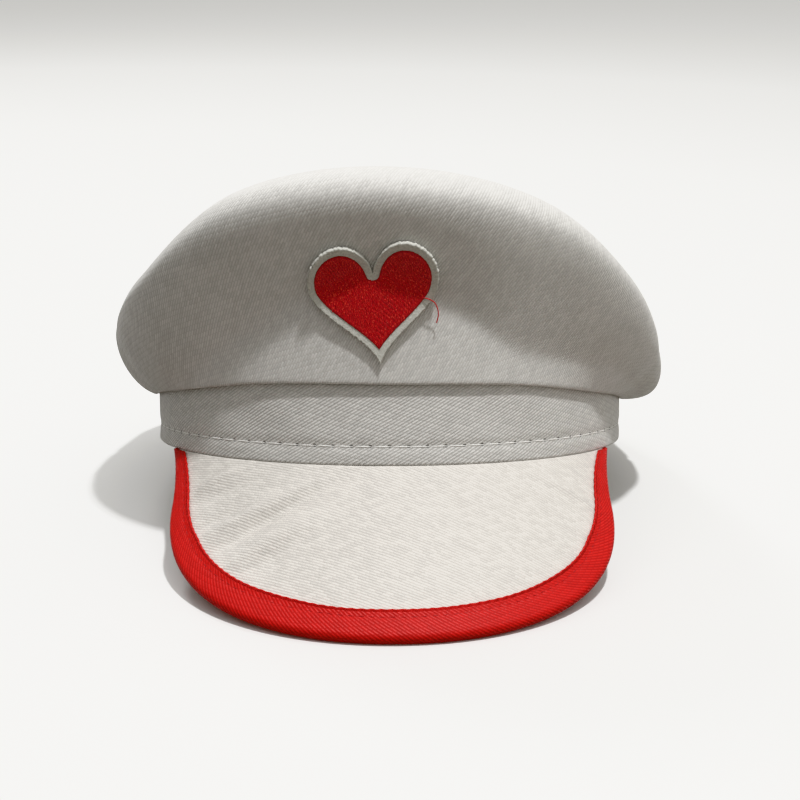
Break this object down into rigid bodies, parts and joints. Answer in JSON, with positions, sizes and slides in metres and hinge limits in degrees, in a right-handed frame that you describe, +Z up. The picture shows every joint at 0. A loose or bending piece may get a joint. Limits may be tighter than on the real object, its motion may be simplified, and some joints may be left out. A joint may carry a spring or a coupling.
{
  "type": "soft peaked nurse cap",
  "caption": "Soft white satin peaked cap with a high front that droops at the sides, a stiff band, a red-bound peak and an embroidered heart badge.",
  "frame": {"origin": "on the table below the middle of the cap's box, as the cap rests by itself", "axes": "+Z up, the peak and the front of the crown towards -Y, the wearer's left towards +X"},
  "size_m": [0.2074, 0.2552, 0.1383],
  "materials": {
    "white_satin": "white satin twill with a soft sheen",
    "red_satin": "red satin twill cut on the bias",
    "white_felt": "stiff white backing with a thread edge",
    "red_thread": "glossy red embroidery thread"
  },
  "bodies": {
    "root": {"band": "white_satin", "crown_front": "white_satin", "crown_back": "white_satin", "crown_top": "white_satin", "peak": "white_satin", "peak_binding": "red_satin", "badge_backing": "white_felt", "badge_embroidery": "red_thread"}
  },
  "joints": []
}
